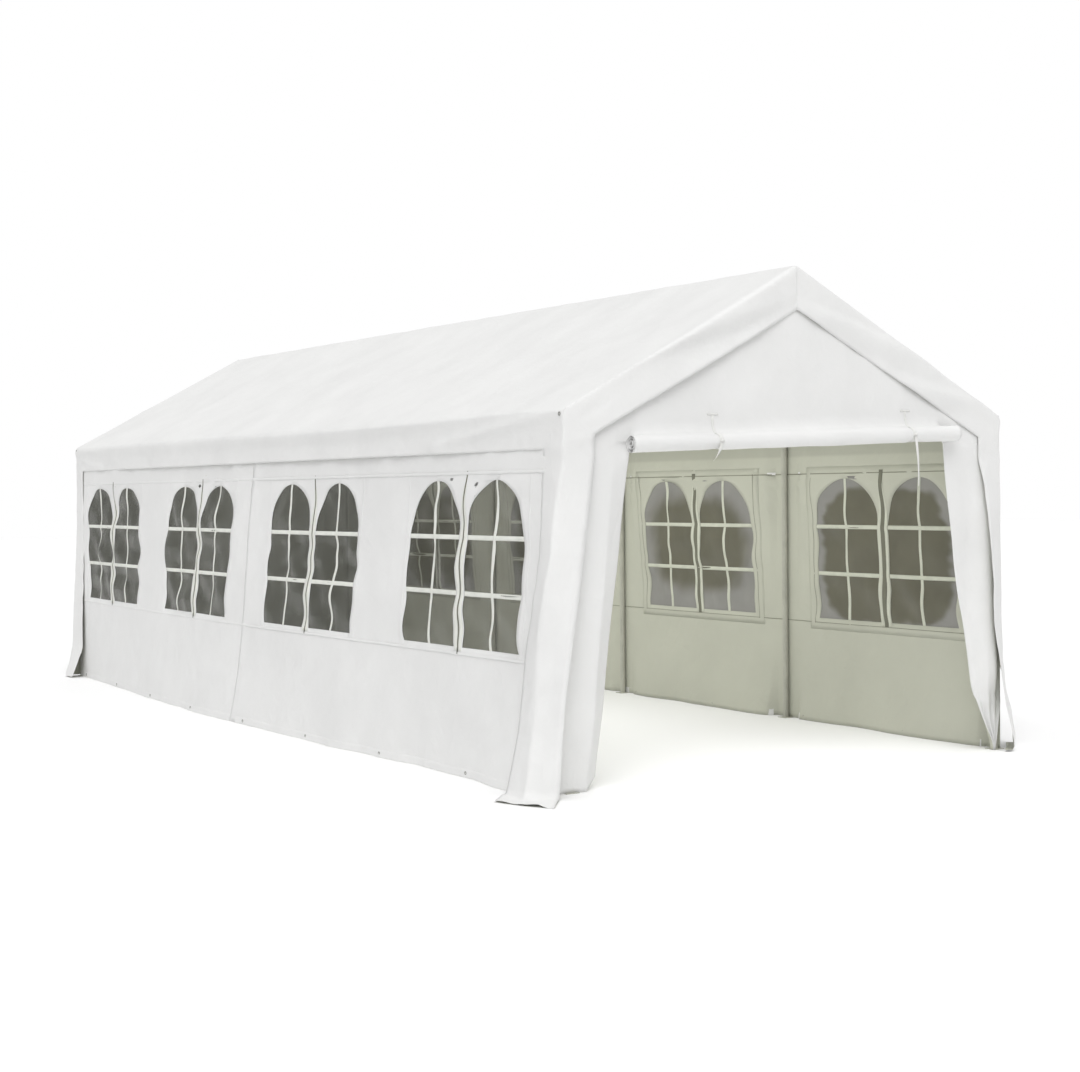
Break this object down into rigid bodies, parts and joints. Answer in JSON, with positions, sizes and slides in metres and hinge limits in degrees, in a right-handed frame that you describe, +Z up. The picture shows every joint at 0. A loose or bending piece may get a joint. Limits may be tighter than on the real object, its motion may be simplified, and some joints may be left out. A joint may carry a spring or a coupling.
{
  "type": "marquee tent",
  "caption": "Long white party tent: tube frame on foot plates, pitched cloth cover with hanging edges, walls with arched windows, open front doorway with its door rolled up.",
  "frame": {"origin": "on the ground, at the middle of the tent's length and width", "axes": "+Z up, +Y along the ridge towards the closed back gable, so the open front doorway faces -Y, and +X to the right of someone who looks in through it"},
  "size_m": [3.8536, 8.5972, 2.7619],
  "materials": {
    "steel_tube": "powder-coated white steel tube, satin",
    "roof_cloth": "coated woven polyethylene, slight sheen",
    "wall_cloth": "coated woven polyethylene, slight sheen",
    "window_film": "clear soft plastic film, glossy",
    "strap": "woven tape"
  },
  "bodies": {
    "root": {"post_left_1": "steel_tube", "post_left_2": "steel_tube", "post_left_3": "steel_tube", "post_left_4": "steel_tube", "post_left_5": "steel_tube", "post_right_1": "steel_tube", "post_right_2": "steel_tube", "post_right_3": "steel_tube", "post_right_4": "steel_tube", "post_right_5": "steel_tube", "rafter_left_1": "steel_tube", "rafter_left_2": "steel_tube", "rafter_left_3": "steel_tube", "rafter_left_4": "steel_tube", "rafter_left_5": "steel_tube", "rafter_right_1": "steel_tube", "rafter_right_2": "steel_tube", "rafter_right_3": "steel_tube", "rafter_right_4": "steel_tube", "rafter_right_5": "steel_tube", "eave_line_left": "steel_tube", "eave_line_right": "steel_tube", "ridge_line": "steel_tube", "roof_slope_left": "roof_cloth", "roof_slope_right": "roof_cloth", "side_valance_left": "roof_cloth", "side_valance_right": "roof_cloth", "gable_valance_front": "roof_cloth", "gable_valance_back": "roof_cloth", "corner_flap_front_left": "roof_cloth", "corner_flap_front_right": "roof_cloth", "corner_flap_back_left": "roof_cloth", "corner_flap_back_right": "roof_cloth", "side_wall_left_front": "wall_cloth", "side_wall_left_back": "wall_cloth", "side_wall_right_front": "wall_cloth", "side_wall_right_back": "wall_cloth", "window_film_left_1": "window_film", "window_film_left_2": "window_film", "window_film_left_3": "window_film", "window_film_left_4": "window_film", "window_film_right_1": "window_film", "window_film_right_2": "window_film", "window_film_right_3": "window_film", "window_film_right_4": "window_film", "front_gable_panel": "wall_cloth", "front_strip_left": "wall_cloth", "front_strip_right": "wall_cloth", "rolled_door": "wall_cloth", "door_tie_left": "strap", "door_tie_right": "strap", "back_wall": "wall_cloth", "back_door": "wall_cloth"}
  },
  "joints": []
}
